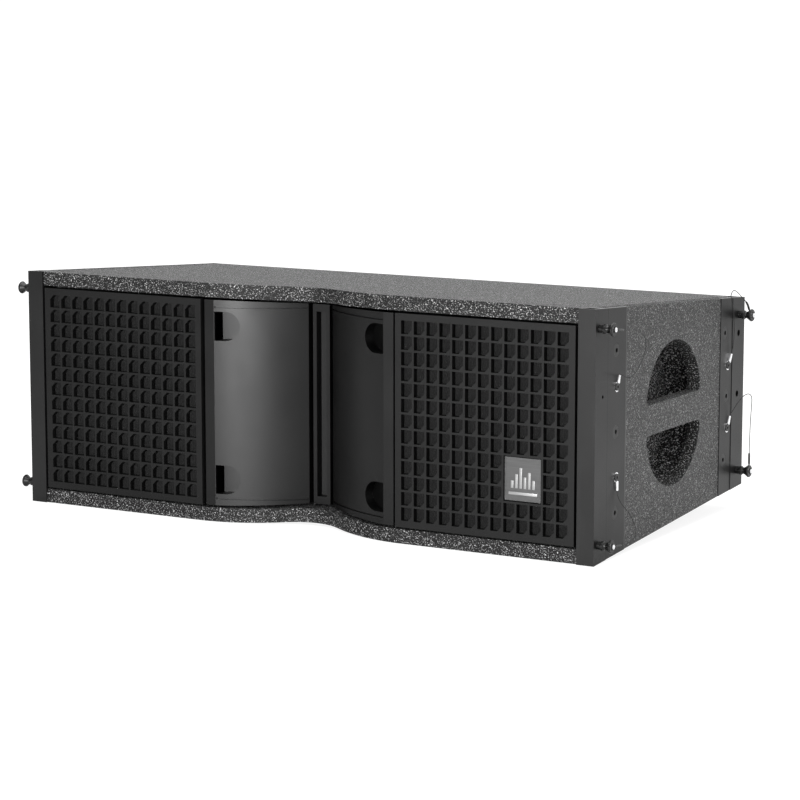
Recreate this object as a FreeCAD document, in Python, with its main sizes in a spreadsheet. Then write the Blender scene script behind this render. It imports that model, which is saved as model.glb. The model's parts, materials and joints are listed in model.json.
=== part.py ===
import FreeCAD, Part

import math
import os

import Sketcher

# Line array loudspeaker element: a wedge-shaped plywood cabinet with two 10 inch woofers behind
# square-hole grilles, a slot-loaded horn in a V-shaped mouth, and a link rail at each corner.
# Frame: origin on the ground under the middle of the cabinet, +X right, +Y to the rear, +Z up.
# The grilles face -Y, and the front face is vertical. Millimetres.

doc = FreeCAD.newDocument("line_array_element")
sheet = doc.addObject("Spreadsheet::Sheet", "dims")

DRIVING = {
    # cabinet
    "width": 826,
    "depth": 436,
    "front_height": 306,
    "rear_drop": 30,
    "board": 18,
    "side_out": 411.5,
    "board_setback": 2,
    # V-notch in the top and bottom boards
    "notch_half": 150,
    "notch_radius": 205,
    "notch_degrees": 33,
    "notch_root_radius": 70,
    # rails
    "rail_in": 390,
    "rail_wall": 4,
    "room_front_y": -206.5,
    "rail_front_deep": 33,
    "rail_rear_deep": 37,
    "rail_plate": 50,
    "rail_bevel": 4.7,
    "rail_seat": 408,
    "rail_face": 412.3,
    "link_room": 17,
    # link bars and pins
    "link_long": 108,
    "link_wide": 15,
    "link_thick": 13,
    "link_travel": 36,
    "link_below_top": 2,
    "pin_shank": 4,
    "bore": 4.05,
    "pin_front_y": -207.5,
    "pin_rear_y": 200,
    "pin_front_rise": 129,
    "pin_rear_rise": 102,
    # screws and ring terminals in the rails
    "screw_front_y": -160,
    "screw_rear_y": 158.5,
    "screw_front_rise": 98,
    "screw_rear_rise": 82.5,
    "screw_head": 8.1,
    "screw_shank": 3.9,
    # grilles
    "grille_in": 142,
    "grille_out": 386.5,
    "grille_tall": 264,
    "grille_thick": 8,
    "cell_wide": 15,
    "cell_tall": 16.6,
    "cell_chamfer": 5.8,
    "cell_across": 17.7,
    "cell_up": 19.2,
    "badge_wide": 50,
    "badge_tall": 54,
    # horn
    "horn_out": 138,
    "horn_lip": 124,
    "horn_throat": 17.7,
    "horn_setback": 3,
    "horn_deep": 58.5,
    "horn_radius": 263,
    "horn_wall": 3,
    "horn_gap": 3.2,
    "port_radius": 18.5,
    "port_centre": 110,
    "port_rise": 98.25,
    "port_deep": 20,
    "slot_half": 12.3,
    "slot_mouth": 7.1,
    "slot_setback": 1.7,
    "slot_long": 236,
    # woofers
    "woofer_x": 264.5,
    "woofer_y": -168,
    "woofer_tilt": 12,
    "woofer_radius": 127,
    "woofer_hole": 116,
    "woofer_travel": 6,
    "baffle_thick": 15,
    # handles
    "handle_y": 6,
    "handle_rise": 11,
    "handle_radius": 80.5,
    "handle_bar": 37,
    "handle_corner": 8,
    "cup_radius": 97,
    "cup_floor": 355,
    # rear
    "plate_wide": 156,
    "plate_tall": 92,
    "plate_hole_wide": 132,
    "plate_hole_tall": 70,
    # lanyards
    "wire": 1.0,
}


class Size:
    """A size worked out from the sheet: its value, and the expression that keeps it bound."""

    def __init__(self, value, text):
        self.value = float(value)
        self.text = text

    def __float__(self):
        return self.value

    def __add__(self, other):
        other = size(other)
        return Size(self.value + other.value, f"({self.text} + {other.text})")

    def __sub__(self, other):
        other = size(other)
        return Size(self.value - other.value, f"({self.text} - {other.text})")

    def __mul__(self, other):
        other = size(other)
        return Size(self.value * other.value, f"({self.text} * {other.text})")

    def __truediv__(self, other):
        other = size(other)
        return Size(self.value / other.value, f"({self.text} / {other.text})")

    def __neg__(self):
        return size(-1) * self

    def __radd__(self, other):
        return size(other) + self

    def __rsub__(self, other):
        return size(other) - self

    def __rmul__(self, other):
        return size(other) * self


def size(thing):
    return thing if isinstance(thing, Size) else Size(thing, f"({float(thing)})")


class Dims:
    """The sheet's cells by name, each as a Size."""


def fill_sheet():
    dims = Dims()
    for row, (alias, value) in enumerate(DRIVING.items(), start=1):
        sheet.set(f"A{row}", alias)
        sheet.set(f"B{row}", str(value))
        sheet.setAlias(f"B{row}", alias)
        setattr(dims, alias, Size(value, f"dims.{alias}"))
    doc.recompute()
    return dims


d = fill_sheet()
vector = FreeCAD.Vector
RIGHT, LEFT = 1, -1
SIDES = {"left": LEFT, "right": RIGHT}
FAR = 600.0  # past every face of the cabinet

front = -d.depth / 2
rear = d.depth / 2
middle = d.front_height / 2
slope = d.rear_drop / d.depth
tilt = math.degrees(math.atan(float(slope)))
board_up = float(d.board) / math.cos(math.radians(tilt))  # the board's thickness, measured along Z


# ---------------------------------------------------------------- drawing helpers


def plane_of(body, role):
    return [feature for feature in body.Origin.OriginFeatures if feature.Role == role][0]


def new_body(label):
    body = doc.addObject("PartDesign::Body", label)
    body.Label = label
    return body


def new_sketch(body, plane, offset=0):
    """A sketch on one of the body's own planes, moved along that plane's normal."""
    sketch = body.newObject("Sketcher::SketchObject", "Sketch")
    sketch.AttachmentSupport = [(plane_of(body, plane), "")]
    sketch.MapMode = "FlatFace"
    offset = size(offset)
    sketch.AttachmentOffset = FreeCAD.Placement(vector(0, 0, offset.value), FreeCAD.Rotation())
    sketch.setExpression(".AttachmentOffset.Base.z", offset.text)
    return sketch


def bind(sketch, constraint, expression):
    index = sketch.addConstraint(constraint)
    sketch.setExpression(f"Constraints[{index}]", expression)


def place(sketch, geometry, vertex, point):
    """Fixes one end of a line, or a circle's centre, at a point of two Sizes."""
    for axis, coordinate in zip(("DistanceX", "DistanceY"), map(size, point)):
        rule = Sketcher.Constraint(axis, -1, 1, geometry, vertex, coordinate.value)
        bind(sketch, rule, coordinate.text)


def polygon(sketch, points):
    """A closed outline of straight lines, each corner bound to the sheet."""
    corners = [vector(float(x), float(y), 0) for x, y in points]
    first = sketch.GeometryCount
    count = len(corners)
    for index in range(count):
        sketch.addGeometry(Part.LineSegment(corners[index], corners[(index + 1) % count]))
    for index in range(count):
        following = first + (index + 1) % count
        sketch.addConstraint(Sketcher.Constraint("Coincident", first + index, 2, following, 1))
    for index, point in enumerate(points):
        place(sketch, first + index, 1, point)


def rectangle(sketch, low, high):
    polygon(sketch, [low, (high[0], low[1]), high, (low[0], high[1])])


def circle(sketch, centre, radius):
    radius = size(radius)
    spot = vector(float(centre[0]), float(centre[1]), 0)
    index = sketch.addGeometry(Part.Circle(spot, vector(0, 0, 1), radius.value))
    place(sketch, index, 3, centre)
    bind(sketch, Sketcher.Constraint("Radius", index, radius.value), radius.text)


def outline(sketch, pieces):
    """A closed outline of lines and arcs, given as lists of 2 or 3 points that join end to end."""
    for piece in pieces:
        points = [vector(float(x), float(y), 0) for x, y in piece]
        if len(points) == 2:
            sketch.addGeometry(Part.LineSegment(*points))
        else:
            sketch.addGeometry(Part.ArcOfCircle(*points))


def pad(body, sketch, length, reverse=False, symmetric=False):
    feature = body.newObject("PartDesign::Pad", "Pad")
    feature.Profile = sketch
    length = size(length)
    feature.Length = length.value
    feature.setExpression("Length", length.text)
    feature.Reversed = reverse
    feature.Midplane = symmetric
    body.Tip = feature
    return feature


def pocket(body, sketch, length=None, reverse=False, symmetric=False):
    """Cuts the sketch out of the body: through all of it, or as deep as length says."""
    feature = body.newObject("PartDesign::Pocket", "Pocket")
    feature.Profile = sketch
    if length is None:
        feature.Type = "ThroughAll"
    else:
        length = size(length)
        feature.Length = length.value
        feature.setExpression("Length", length.text)
    feature.Reversed = reverse
    feature.Midplane = symmetric
    body.Tip = feature
    return feature


def block(label, low, high):
    """A body with six flat faces, from its lowest corner to its highest."""
    body = new_body(label)
    sketch = new_sketch(body, "XY_Plane", low[2])
    rectangle(sketch, (low[0], low[1]), (high[0], high[1]))
    pad(body, sketch, size(high[2]) - size(low[2]))
    return body


def turned(label, profile):
    """A body turned about its own Z axis from a closed outline of (radius, height) points."""
    body = new_body(label)
    sketch = new_sketch(body, "XZ_Plane")
    polygon(sketch, profile)
    feature = body.newObject("PartDesign::Revolution", "Revolution")
    feature.Profile = sketch
    feature.ReferenceAxis = (sketch, ["V_Axis"])
    feature.Angle = 360
    body.Tip = feature
    return body


def ordered(first, second):
    first, second = size(first), size(second)
    return (first, second) if first.value <= second.value else (second, first)


def top_at(y):
    """Height of the cabinet's top face at a depth y."""
    return d.front_height - slope * (size(y) - front)


def bottom_at(y):
    return slope * (size(y) - front)


def trim_to_taper(body, inset):
    """Cuts a body off at the two sloping faces, moved inwards by inset."""
    sketch = new_sketch(body, "YZ_Plane")
    near, far = size(-FAR), size(FAR)
    upper = [(near, top_at(near) - inset), (far, top_at(far) - inset), (far, far), (near, far)]
    lower = [(near, bottom_at(near) + inset), (near, near), (far, near), (far, bottom_at(far) + inset)]
    polygon(sketch, upper)
    polygon(sketch, lower)
    pocket(body, sketch, 2 * FAR, symmetric=True)


def along_x(side):
    """Turns a body's own Z axis to point out of the given side."""
    return FreeCAD.Rotation(vector(0, 1, 0), 90 * side)


# ---------------------------------------------------------------- cabinet


def board_outline(sketch):
    """Plan of the top and bottom boards, with all edges square to the ground.

    The front edge swings back between the grilles on two convex arcs, and a concave arc joins them.
    """
    near, back = float(front + d.board_setback), float(rear - d.board_setback)
    wide = float(d.side_out - d.board)
    narrow = float(d.rail_in) - 0.3
    rail_front = float(front + d.rail_front_deep) + 0.3
    rail_rear = float(rear - d.rail_rear_deep) - 0.3
    half, radius = float(d.notch_half), float(d.notch_radius)
    root = float(d.notch_root_radius)
    swing = math.radians(float(d.notch_degrees))

    def on_convex(angle):
        return half - radius * math.sin(angle), near + radius * (1 - math.cos(angle))

    knee_x, knee_y = on_convex(swing)
    root_y = knee_y + root * (1 - math.cos(swing))
    right = [
        [(half, near), (narrow, near)],
        [(narrow, near), (narrow, rail_front)],
        [(narrow, rail_front), (wide, rail_front)],
        [(wide, rail_front), (wide, rail_rear)],
        [(wide, rail_rear), (narrow, rail_rear)],
        [(narrow, rail_rear), (narrow, back)],
    ]
    left = [[(-x, y) for x, y in reversed(piece)] for piece in reversed(right)]
    knee_right = [(knee_x, knee_y), on_convex(swing / 2), (half, near)]
    knee_left = [(-x, y) for x, y in reversed(knee_right)]
    valley = [(-knee_x, knee_y), (0, root_y), (knee_x, knee_y)]
    back_edge = [(narrow, back), (-narrow, back)]
    outline(sketch, [valley, knee_right, *right, back_edge, *left, knee_left])


SCREW_SUNK = 2.2
SCREW_HOLE = 3.4


def grille_screw_places():
    """Four small screws in the top board and four in the bottom one, sunk close to the front."""
    y = float(front) + 27
    places = []
    for x in (-344.0, -185.0, 185.0, 344.0):
        places.append((x, y, float(top_at(y)), 1))
        places.append((x, y, float(bottom_at(y)), -1))
    return places


def make_boards():
    """The sloping boards: drawn in plan, then cut off along their two faces.

    Small holes take the heads of the screws that hold the grilles.
    """
    near, far = size(-FAR), size(FAR)
    for label in ("top_panel", "bottom_panel"):
        body = new_body(label)
        plan = new_sketch(body, "XY_Plane")
        board_outline(plan)
        pad(body, plan, d.front_height)
        trim_to_taper(body, 0)
        rest = new_sketch(body, "YZ_Plane")
        if label == "top_panel":
            edge = [(near, top_at(near) - board_up), (far, top_at(far) - board_up)]
            polygon(rest, edge + [(far, near), (near, near)])
        else:
            edge = [(near, bottom_at(near) + board_up), (far, bottom_at(far) + board_up)]
            polygon(rest, edge + [(far, far), (near, far)])
        pocket(body, rest, 2 * FAR, symmetric=True)
        for x, y, level, up in grille_screw_places():
            if up == (1 if label == "top_panel" else -1):
                sunk = new_sketch(body, "XY_Plane", size(level - SCREW_SUNK * up))
                circle(sunk, (size(x), size(y)), size(SCREW_HOLE))
                pocket(body, sunk, 10, reverse=up > 0)


def half_moon(up):
    """One handle opening in the YZ plane, above (up = 1) or below (up = -1) the grip bar."""
    radius, corner = float(d.handle_radius), float(d.handle_corner)
    chord = float(d.handle_bar) / 2 - float(d.handle_rise)
    lift = chord + corner
    reach = math.sqrt((radius - corner) ** 2 - lift**2)
    scale = radius / (radius - corner)
    lean = math.atan2(lift, reach) / 2 - math.pi / 4
    bend = (reach + corner * math.cos(lean), lift + corner * math.sin(lean))
    touch = (reach * scale, lift * scale)
    pieces = [
        [(-reach, chord), (reach, chord)],
        [(reach, chord), bend, touch],
        [touch, (0, radius), (-touch[0], touch[1])],
        [(-touch[0], touch[1]), (-bend[0], bend[1]), (-reach, chord)],
    ]
    y_mid, z_mid = float(d.handle_y), float(middle)
    rise = float(d.handle_rise)
    return [[(y_mid + y, z_mid + up * (rise + z)) for y, z in piece] for piece in pieces]


def make_side_panels():
    for name, side in SIDES.items():
        body = new_body(f"side_panel_{name}")
        inner, outer = d.side_out - d.board, d.side_out
        low, _ = ordered(side * inner, side * outer)
        sketch = new_sketch(body, "YZ_Plane", low)
        near = front + d.rail_front_deep + 0.2
        far = rear - d.rail_rear_deep - 0.2
        corners = [(near, bottom_at(near)), (far, bottom_at(far)), (far, top_at(far)), (near, top_at(near))]
        polygon(sketch, corners)
        pad(body, sketch, d.board)
        for up in (1, -1):
            opening = new_sketch(body, "YZ_Plane", side * FAR)
            outline(opening, half_moon(up))
            pocket(body, opening, reverse=side == LEFT)
        rebates = new_sketch(body, "YZ_Plane", side * d.rail_seat)
        front_end = front + d.rail_front_deep + d.rail_plate + d.rail_bevel
        rear_end = rear - d.rail_rear_deep - 36.3
        rectangle(rebates, (near - 1, -FAR), (front_end, FAR))
        rectangle(rebates, (rear_end, -FAR), (far + 1, FAR))
        pocket(body, rebates, 30, reverse=side == RIGHT)
        screws = new_sketch(body, "YZ_Plane", side * FAR)
        for y, z in rail_screw_places():
            circle(screws, (y, z), d.screw_shank + 0.2)
        pocket(body, screws, reverse=side == LEFT)


def rail_screw_places():
    """(y, z) of the countersunk screws through the rail plates: three in front, three behind."""
    fronts = [(d.screw_front_y, middle + k * d.screw_front_rise) for k in (-1, 0, 1)]
    rears = [(d.screw_rear_y + 7 * (k == 0), middle + k * d.screw_rear_rise) for k in (-1, 0, 1)]
    return fronts + rears


REAR_OUT = 213.0
INPUT_PLATE_THICK = 3.0


def make_rear_panel():
    body = new_body("rear_panel")
    sketch = new_sketch(body, "XZ_Plane", -REAR_OUT)
    half = d.rail_in - 0.3
    rectangle(sketch, (-half, -20), (half, d.front_height + 20))
    pad(body, sketch, d.board)
    trim_to_taper(body, board_up + 0.1)
    hole = new_sketch(body, "XZ_Plane", -REAR_OUT - 20)
    half_wide, half_tall = d.plate_hole_wide / 2, d.plate_hole_tall / 2
    rectangle(hole, (-half_wide, middle - half_tall), (half_wide, middle + half_tall))
    pocket(body, hole, 60, reverse=True)


def woofer_placement(side):
    """The woofer's axis, into the cabinet, as the local Z of a placement on the baffle's front."""
    lean = math.radians(float(d.woofer_tilt))
    axis = vector(side * math.sin(lean), math.cos(lean), 0)
    spot = vector(side * float(d.woofer_x), float(d.woofer_y), float(middle))
    return FreeCAD.Placement(spot, FreeCAD.Rotation(vector(0, 0, 1), axis))


def make_baffles():
    """The two woofer boards form a shallow V; each is drawn flat and then turned about Z."""
    lean = math.radians(float(d.woofer_tilt))
    inner_end, outer_end = -240.0, 124.0
    clearance = 1.3
    vents = 26.0
    for name, side in SIDES.items():
        body = new_body(f"woofer_baffle_{name}")
        sketch = new_sketch(body, "XZ_Plane")

        def half_height(along):
            y = float(d.woofer_y) - along * math.sin(lean)
            return float(top_at(y)) - board_up - clearance - float(middle)

        corners = [(inner_end, -1), (outer_end, -1), (outer_end, 1), (inner_end, 1)]
        polygon(sketch, [(side * u, up * half_height(u)) for u, up in corners])
        pad(body, sketch, d.baffle_thick, reverse=True)
        holes = new_sketch(body, "XZ_Plane", FAR)
        circle(holes, (0, 0), d.woofer_hole)
        for up in (1, -1):
            low = (-side * 150 - vents / 2, up * d.port_rise - vents)
            rectangle(holes, low, (low[0] + vents, low[1] + 2 * vents))
        pocket(body, holes)
        spot = vector(side * float(d.woofer_x), float(d.woofer_y), float(middle))
        body.Placement = FreeCAD.Placement(
            spot, FreeCAD.Rotation(vector(0, 0, 1), -side * float(d.woofer_tilt))
        )


def make_handle_cups():
    """A round pan behind each pair of handle openings, so that fingers reach behind the bar."""
    flange, wall = 3.0, 3.0
    inner = d.side_out - d.board
    for name, side in SIDES.items():
        deep = inner - d.cup_floor
        radius = d.cup_radius
        profile = [
            (0, -deep),
            (radius, -deep),
            (radius, -flange),
            (radius + 8, -flange),
            (radius + 8, 0),
            (radius - wall, 0),
            (radius - wall, wall - deep),
            (0, wall - deep),
        ]
        body = turned(f"handle_cup_{name}", profile)
        spot = vector(side * float(inner), float(d.handle_y), float(middle))
        body.Placement = FreeCAD.Placement(spot, along_x(side))


# ---------------------------------------------------------------- rails, links and pins


def rail_ends(place):
    """Outer and inner end of the channel, the middle of its room, and the plate's far edge."""
    if place == "front":
        end = front + d.rail_front_deep
        return front, end, d.room_front_y, end + d.rail_plate
    end = rear - d.rail_rear_deep
    return rear, end, d.pin_rear_y, end - 36


def pin_places(place):
    """(y, z) of the lower and upper pin of a rail."""
    if place == "front":
        return [(d.pin_front_y, middle + k * d.pin_front_rise) for k in (-1, 1)]
    return [(d.pin_rear_y, middle + k * d.pin_rear_rise) for k in (-1, 1)]


SEAM = 0.9


def make_rails():
    """Each rail is a steel channel at the corner with a plate let into the side panel.

    A narrow seam parts the two on the outside of the front rails.
    """
    outer = d.width / 2
    for place in ("front", "rear"):
        start, end, centre, plate_end = rail_ends(place)
        for name, side in SIDES.items():
            body = new_body(f"rail_{place}_{name}")
            sketch = new_sketch(body, "XY_Plane", -5)
            corners = [
                (d.rail_in, start),
                (outer, start),
                (outer, end),
                (d.rail_face, end),
                (d.rail_face, plate_end),
                (d.rail_seat, plate_end),
                (d.rail_seat, end),
                (d.rail_in, end),
            ]
            if place == "front":
                corners[3:6] = [
                    (d.rail_face - SEAM, end),
                    (d.rail_face - SEAM, end + SEAM),
                    (d.rail_face, end + SEAM),
                    (d.rail_face, plate_end),
                    (d.side_out, plate_end + d.rail_bevel),
                    (d.rail_seat, plate_end + d.rail_bevel),
                ]
            polygon(sketch, [(side * x, y) for x, y in corners])
            half_room = d.link_room / 2
            room_low, room_high = ordered(
                side * (d.rail_in + d.rail_wall), side * (outer - d.rail_wall)
            )
            rectangle(sketch, (room_low, centre - half_room), (room_high, centre + half_room))
            pad(body, sketch, d.front_height + 10)
            trim_to_taper(body, 0)
            bores = new_sketch(body, "YZ_Plane", side * FAR)
            for y, z in pin_places(place):
                circle(bores, (y, z), d.bore)
            for y, z in spare_bores(place):
                circle(bores, (y, z), d.bore + 0.1)
            pocket(body, bores, reverse=side == LEFT)
            holes = new_sketch(body, "YZ_Plane", side * FAR)
            for y, z in rail_screw_places():
                if (float(y) < 0) == (place == "front"):
                    circle(holes, (y, z), d.screw_shank + 0.2)
            pocket(body, holes, reverse=side == LEFT)
            for y, z in rail_screw_places():
                if (float(y) < 0) == (place == "front"):
                    countersink(body, side, y, z)
            if place == "front":
                tapped = new_sketch(body, "YZ_Plane", side * FAR)
                circle(tapped, (front + 20, middle + 47), 2.1)
                pocket(body, tapped, float(FAR - outer) + float(d.rail_wall), reverse=side == LEFT)


def spare_bores(place):
    """The rear rails have two more pin holes, which set the angle between two cabinets."""
    if place == "front":
        return []
    return [(rear - 18, middle + 78), (rear - 20, middle - 1)]


def countersink(body, side, y, z):
    """A 90 degree countersink in the rail plate, cut by turning a triangle about X."""
    sketch = new_sketch(body, "XZ_Plane", -y)
    above, clearance = 0.5, 0.2
    face = side * (d.rail_face + above)
    tip = side * (d.rail_face - d.screw_head + d.screw_shank)
    wide = d.screw_head + above + clearance
    polygon(sketch, [(face, z), (face, z + wide), (tip, z + d.screw_shank + clearance), (tip, z)])
    feature = body.newObject("PartDesign::Groove", "Groove")
    feature.Profile = sketch
    line = sketch.addGeometry(
        Part.LineSegment(vector(float(tip), float(z), 0), vector(float(face), float(z), 0)), True
    )
    place(sketch, line, 1, (tip, z))
    place(sketch, line, 2, (face, z))
    feature.ReferenceAxis = (sketch, ["Axis0"])
    feature.Angle = 360
    body.Tip = feature


def link_top(place):
    """Height of a stored bar's upper end, just below the rail's rim."""
    return top_at(rail_ends(place)[2] + d.link_room / 2) - d.link_below_top


def make_links():
    """A flat bar in each rail. It slides up on its own pin, which runs in the bar's long slot."""
    centre_x = (d.rail_in + d.width / 2) / 2
    for place in ("front", "rear"):
        pin_y, pin_z = pin_places(place)[1]
        room_y = rail_ends(place)[2]
        high = link_top(place)
        for name, side in SIDES.items():
            label = f"link_bar_{place}_{name}"
            half_thick, half_wide = d.link_thick / 2, d.link_wide / 2
            low_x, high_x = ordered(side * (centre_x - half_thick), side * (centre_x + half_thick))
            body = block(
                label,
                (low_x, room_y - half_wide, high - d.link_long),
                (high_x, room_y + half_wide, high),
            )
            slot = new_sketch(body, "YZ_Plane", side * FAR)
            y, z, radius = float(pin_y), float(pin_z), float(d.bore) + 0.25
            foot = z - float(d.link_travel)
            outline(
                slot,
                [
                    [(y - radius, foot), (y, foot - radius), (y + radius, foot)],
                    [(y + radius, foot), (y + radius, z)],
                    [(y + radius, z), (y, z + radius), (y - radius, z)],
                    [(y - radius, z), (y - radius, foot)],
                ],
            )
            pocket(body, slot, reverse=side == LEFT)
            if place == "front":
                hole = new_sketch(body, "YZ_Plane", side * FAR)
                circle(hole, (pin_y, pin_z + 12), d.bore)
                pocket(body, hole, reverse=side == LEFT)


PIN_TIP = -23.0  # the pin's end, flush with the rail's inner wall
PIN_FLANGE = 18.0  # middle of the pin's grip flange, out from the rail
FLANGE_RADIUS = 8.0
BUTTON_RADIUS = 2.9


def pin_profile():
    """Half section of a quick-release pin along its axis, 0 at the rail's outer face."""
    shank = d.pin_shank
    well = BUTTON_RADIUS + 0.4
    return [
        (0, PIN_TIP),
        (shank - 1, PIN_TIP),
        (shank, PIN_TIP + 1),
        (shank, 0.3),
        (4.9, 0.3),
        (4.9, 4.6),
        (5.7, 5.6),
        (5.7, 8.4),
        (4.4, 9.8),
        (4.2, 11.6),
        (FLANGE_RADIUS - 0.8, PIN_FLANGE - 1.8),
        (FLANGE_RADIUS, PIN_FLANGE - 0.9),
        (FLANGE_RADIUS, PIN_FLANGE + 0.4),
        (FLANGE_RADIUS - 0.8, PIN_FLANGE + 1.4),
        (well + 1.2, PIN_FLANGE + 1.4),
        (well, PIN_FLANGE + 0.2),
        (well, PIN_FLANGE - 4),
        (0, PIN_FLANGE - 4),
    ]


def button_profile():
    """The release button, with a domed face, 3.6 mm above the floor of its well."""
    low = PIN_FLANGE - 0.4
    high = PIN_FLANGE + 4.2
    return [
        (0, low),
        (BUTTON_RADIUS, low),
        (BUTTON_RADIUS, high - 1.1),
        (BUTTON_RADIUS - 0.5, high - 0.45),
        (BUTTON_RADIUS - 1.4, high - 0.1),
        (0, high),
    ]


def make_pins():
    for place in ("front", "rear"):
        for level, (y, z) in zip(("lower", "upper"), pin_places(place)):
            for name, side in SIDES.items():
                spot = vector(side * float(d.width) / 2, float(y), float(z))
                seat = FreeCAD.Placement(spot, along_x(side))
                for piece, profile in (("pin", pin_profile()), ("button", button_profile())):
                    body = turned(f"{piece}_{place}_{level}_{name}", profile)
                    body.Placement = seat


# ---------------------------------------------------------------- grilles and badge


CELLS = 13
BADGE_COLUMN, BADGE_ROW, BADGE_CELLS = 8, 8, 3


def make_grilles():
    """A moulded grid of square holes, each with one chamfered corner.

    The right grille is the left one turned half round, and has a blind seat for the badge.
    """
    for name, side in SIDES.items():
        body = new_body(f"grille_{name}")
        low, high = ordered(side * d.grille_in, side * d.grille_out)
        half_tall = d.grille_tall / 2
        face = new_sketch(body, "XZ_Plane", -front)
        rectangle(face, (low, middle - half_tall), (high, middle + half_tall))
        pad(body, face, d.grille_thick, reverse=True)
        margin_x = (high - low - (CELLS - 1) * d.cell_across - d.cell_wide) / 2
        margin_z = (d.grille_tall - (CELLS - 1) * d.cell_up - d.cell_tall) / 2
        x0, z0 = low + margin_x, middle - half_tall + margin_z
        x1, z1 = x0 + d.cell_wide, z0 + d.cell_tall
        cut = d.cell_chamfer
        cell = new_sketch(body, "XZ_Plane", -front)
        if side == LEFT:
            corners = [(x0, z0), (x1, z0), (x1, z1), (x0 + cut, z1), (x0, z1 - cut)]
        else:
            corners = [(x0, z0), (x1 - cut, z0), (x1, z0 + cut), (x1, z1), (x0, z1)]
        polygon(cell, corners)
        first = pocket(body, cell)
        doc.recompute()
        grid = body.newObject("PartDesign::MultiTransform", "Grid")
        grid.Originals = [first]
        steps = []
        for axis, step in (("X_Axis", d.cell_across), ("Z_Axis", d.cell_up)):
            pattern = body.newObject("PartDesign::LinearPattern", "Row")
            pattern.Direction = (plane_of(body, axis), [""])
            whole = (CELLS - 1) * step
            pattern.Length = whole.value
            pattern.setExpression("Length", whole.text)
            pattern.Occurrences = CELLS
            steps.append(pattern)
        grid.Transformations = steps
        body.Tip = grid
        if side == RIGHT:
            seat_x = x0 + BADGE_COLUMN * d.cell_across
            seat_z = middle + half_tall - margin_z - BADGE_ROW * d.cell_up
            across = (BADGE_CELLS - 1) * d.cell_across + d.cell_wide
            tall = (BADGE_CELLS - 1) * d.cell_up + d.cell_tall
            seat = new_sketch(body, "XZ_Plane", -front - 5)
            rectangle(seat, (seat_x - 1, seat_z - tall - 1), (seat_x + across + 1, seat_z + 1))
            pad(body, seat, d.grille_thick - 5, reverse=True)
            well = new_sketch(body, "XZ_Plane", -front)
            rectangle(well, (seat_x, seat_z - tall), (seat_x + across, seat_z))
            pocket(body, well, 5)
            make_badge(seat_x + across / 2, seat_z - tall / 2)


def make_badge(x, z):
    """A plain plate with a raised rim and a raised foot bar, standing in its seat."""
    half_wide, half_tall = d.badge_wide / 2 - 0.8, d.badge_tall / 2 - 0.8
    body = new_body("badge")
    plate = new_sketch(body, "XZ_Plane", -front - 5)
    rectangle(plate, (x - half_wide, z - half_tall), (x + half_wide, z + half_tall))
    pad(body, plate, 3.6)
    inset = new_sketch(body, "XZ_Plane", -front - 1.4)
    rectangle(inset, (x - half_wide + 1.2, z - half_tall + 7), (x + half_wide - 1.2, z + half_tall - 1.2))
    pocket(body, inset, 0.5)


def make_grille_foam():
    """A sheet of open foam behind each grille."""
    gap = 1.0
    halves = []
    for name, side in SIDES.items():
        low, high = ordered(side * (d.grille_in + gap), side * (d.grille_out - gap))
        y = float(front + d.grille_thick)
        tall = float(d.grille_tall) / 2 - 2 * gap
        corner = vector(low.value, y, float(middle) - tall)
        halves.append(Part.makeBox(high.value - low.value, 5.0, 2 * tall, corner))
    return add_shape("grille_foam", Part.makeCompound(halves))


def add_shape(label, shape):
    feature = doc.addObject("Part::Feature", label)
    feature.Label = label
    feature.Shape = shape
    return feature


# ---------------------------------------------------------------- horn


def horn_centre():
    """Centre of the flare's arc, for the right-hand flare, and the arc's two ends."""
    mouth = vector(float(d.horn_lip), float(front + d.horn_setback), 0)
    throat = vector(float(d.horn_throat), float(front + d.horn_deep), 0)
    radius = float(d.horn_radius)
    chord = throat - mouth
    half = chord.Length / 2
    normal = vector(-chord.y, chord.x, 0).normalize()
    if normal.y < 0:
        normal = normal * -1
    return (mouth + throat) * 0.5 + normal * math.sqrt(radius**2 - half**2)


def on_arc(centre, radius, x):
    """The point of an arc at x, on the side that faces the mouth."""
    return x, centre.y - math.sqrt(radius**2 - (x - centre.x) ** 2)


def mirrored(pieces, side):
    """A right-hand outline as it is, or turned over for the left."""
    if side == RIGHT:
        return pieces
    return [[(-x, y) for x, y in reversed(piece)] for piece in reversed(pieces)]


def arc_between(centre, radius, start_x, end_x):
    middle_x = (start_x + end_x) / 2
    return [on_arc(centre, radius, x) for x in (start_x, middle_x, end_x)]


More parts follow.
